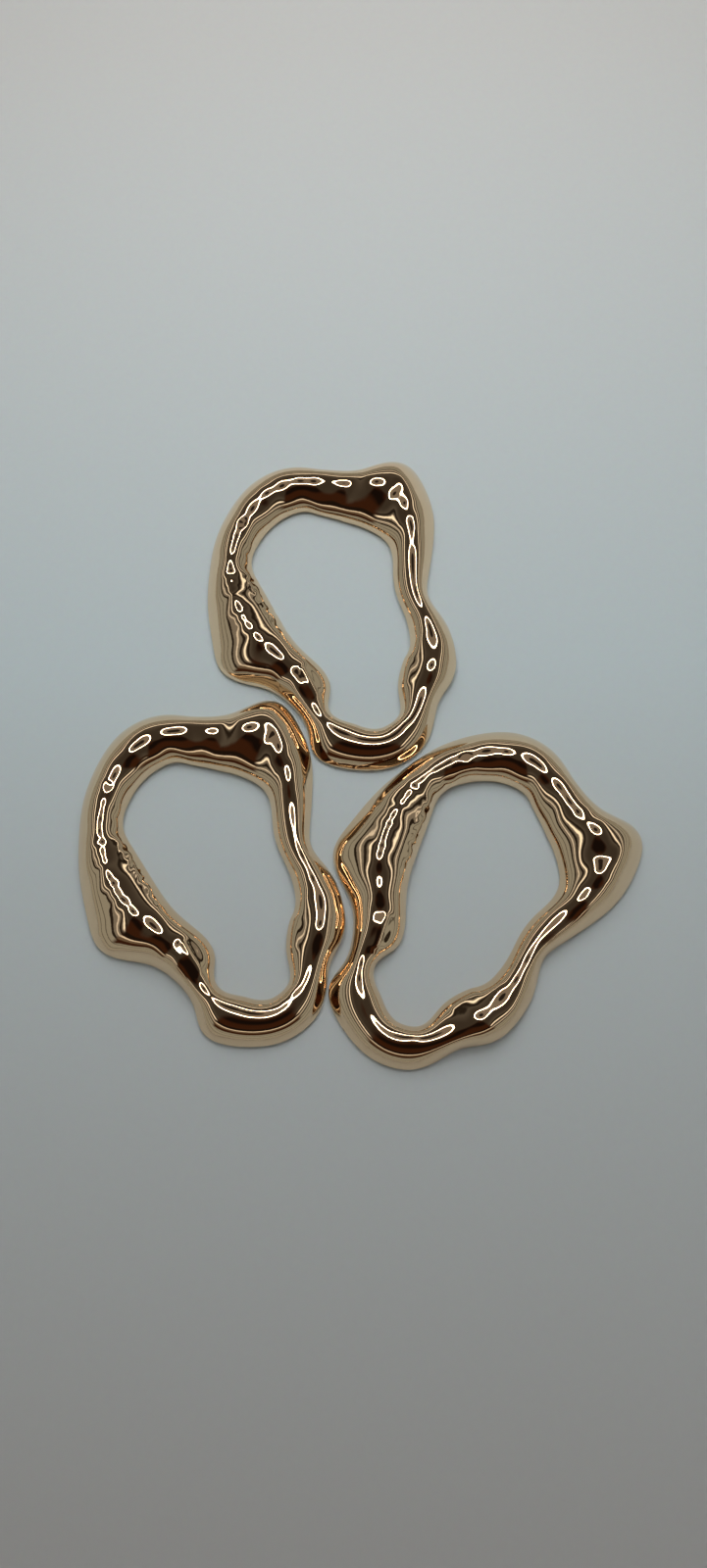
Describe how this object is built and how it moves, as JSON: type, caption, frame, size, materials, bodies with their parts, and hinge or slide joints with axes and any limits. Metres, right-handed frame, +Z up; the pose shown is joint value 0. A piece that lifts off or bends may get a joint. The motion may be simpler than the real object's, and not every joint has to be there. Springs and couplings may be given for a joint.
{
  "type": "irregular decorative ring finding",
  "caption": "Set of loose irregular cast rings with flat backs and a smooth, lumpy, mirror-polished front, used as scarf, strap or jewellery links.",
  "frame": {"origin": "centre of the set's footprint, on the flat backs' plane (the surface that the rings lie on)", "axes": "+Z up from the flat backs through the polished fronts; +Y from the pair of lower rings towards the upper ring; +X towards the right ring"},
  "size_m": [0.1251, 0.1428, 0.0072],
  "materials": {
    "gold_plate": "mirror-polished champagne gold plating over a cast body"
  },
  "bodies": {
    "upper": {"upper_ring": "gold_plate"},
    "left": {"left_ring": "gold_plate"},
    "right": {"right_ring": "gold_plate"}
  },
  "joints": [
    {"name": "left_ring_lift", "type": "slide", "parent": "upper", "child": "left", "axis": [0, 0, 1], "range_m": [0, 0.04]},
    {"name": "right_ring_lift", "type": "slide", "parent": "upper", "child": "right", "axis": [0, 0, 1], "range_m": [0, 0.04]}
  ]
}
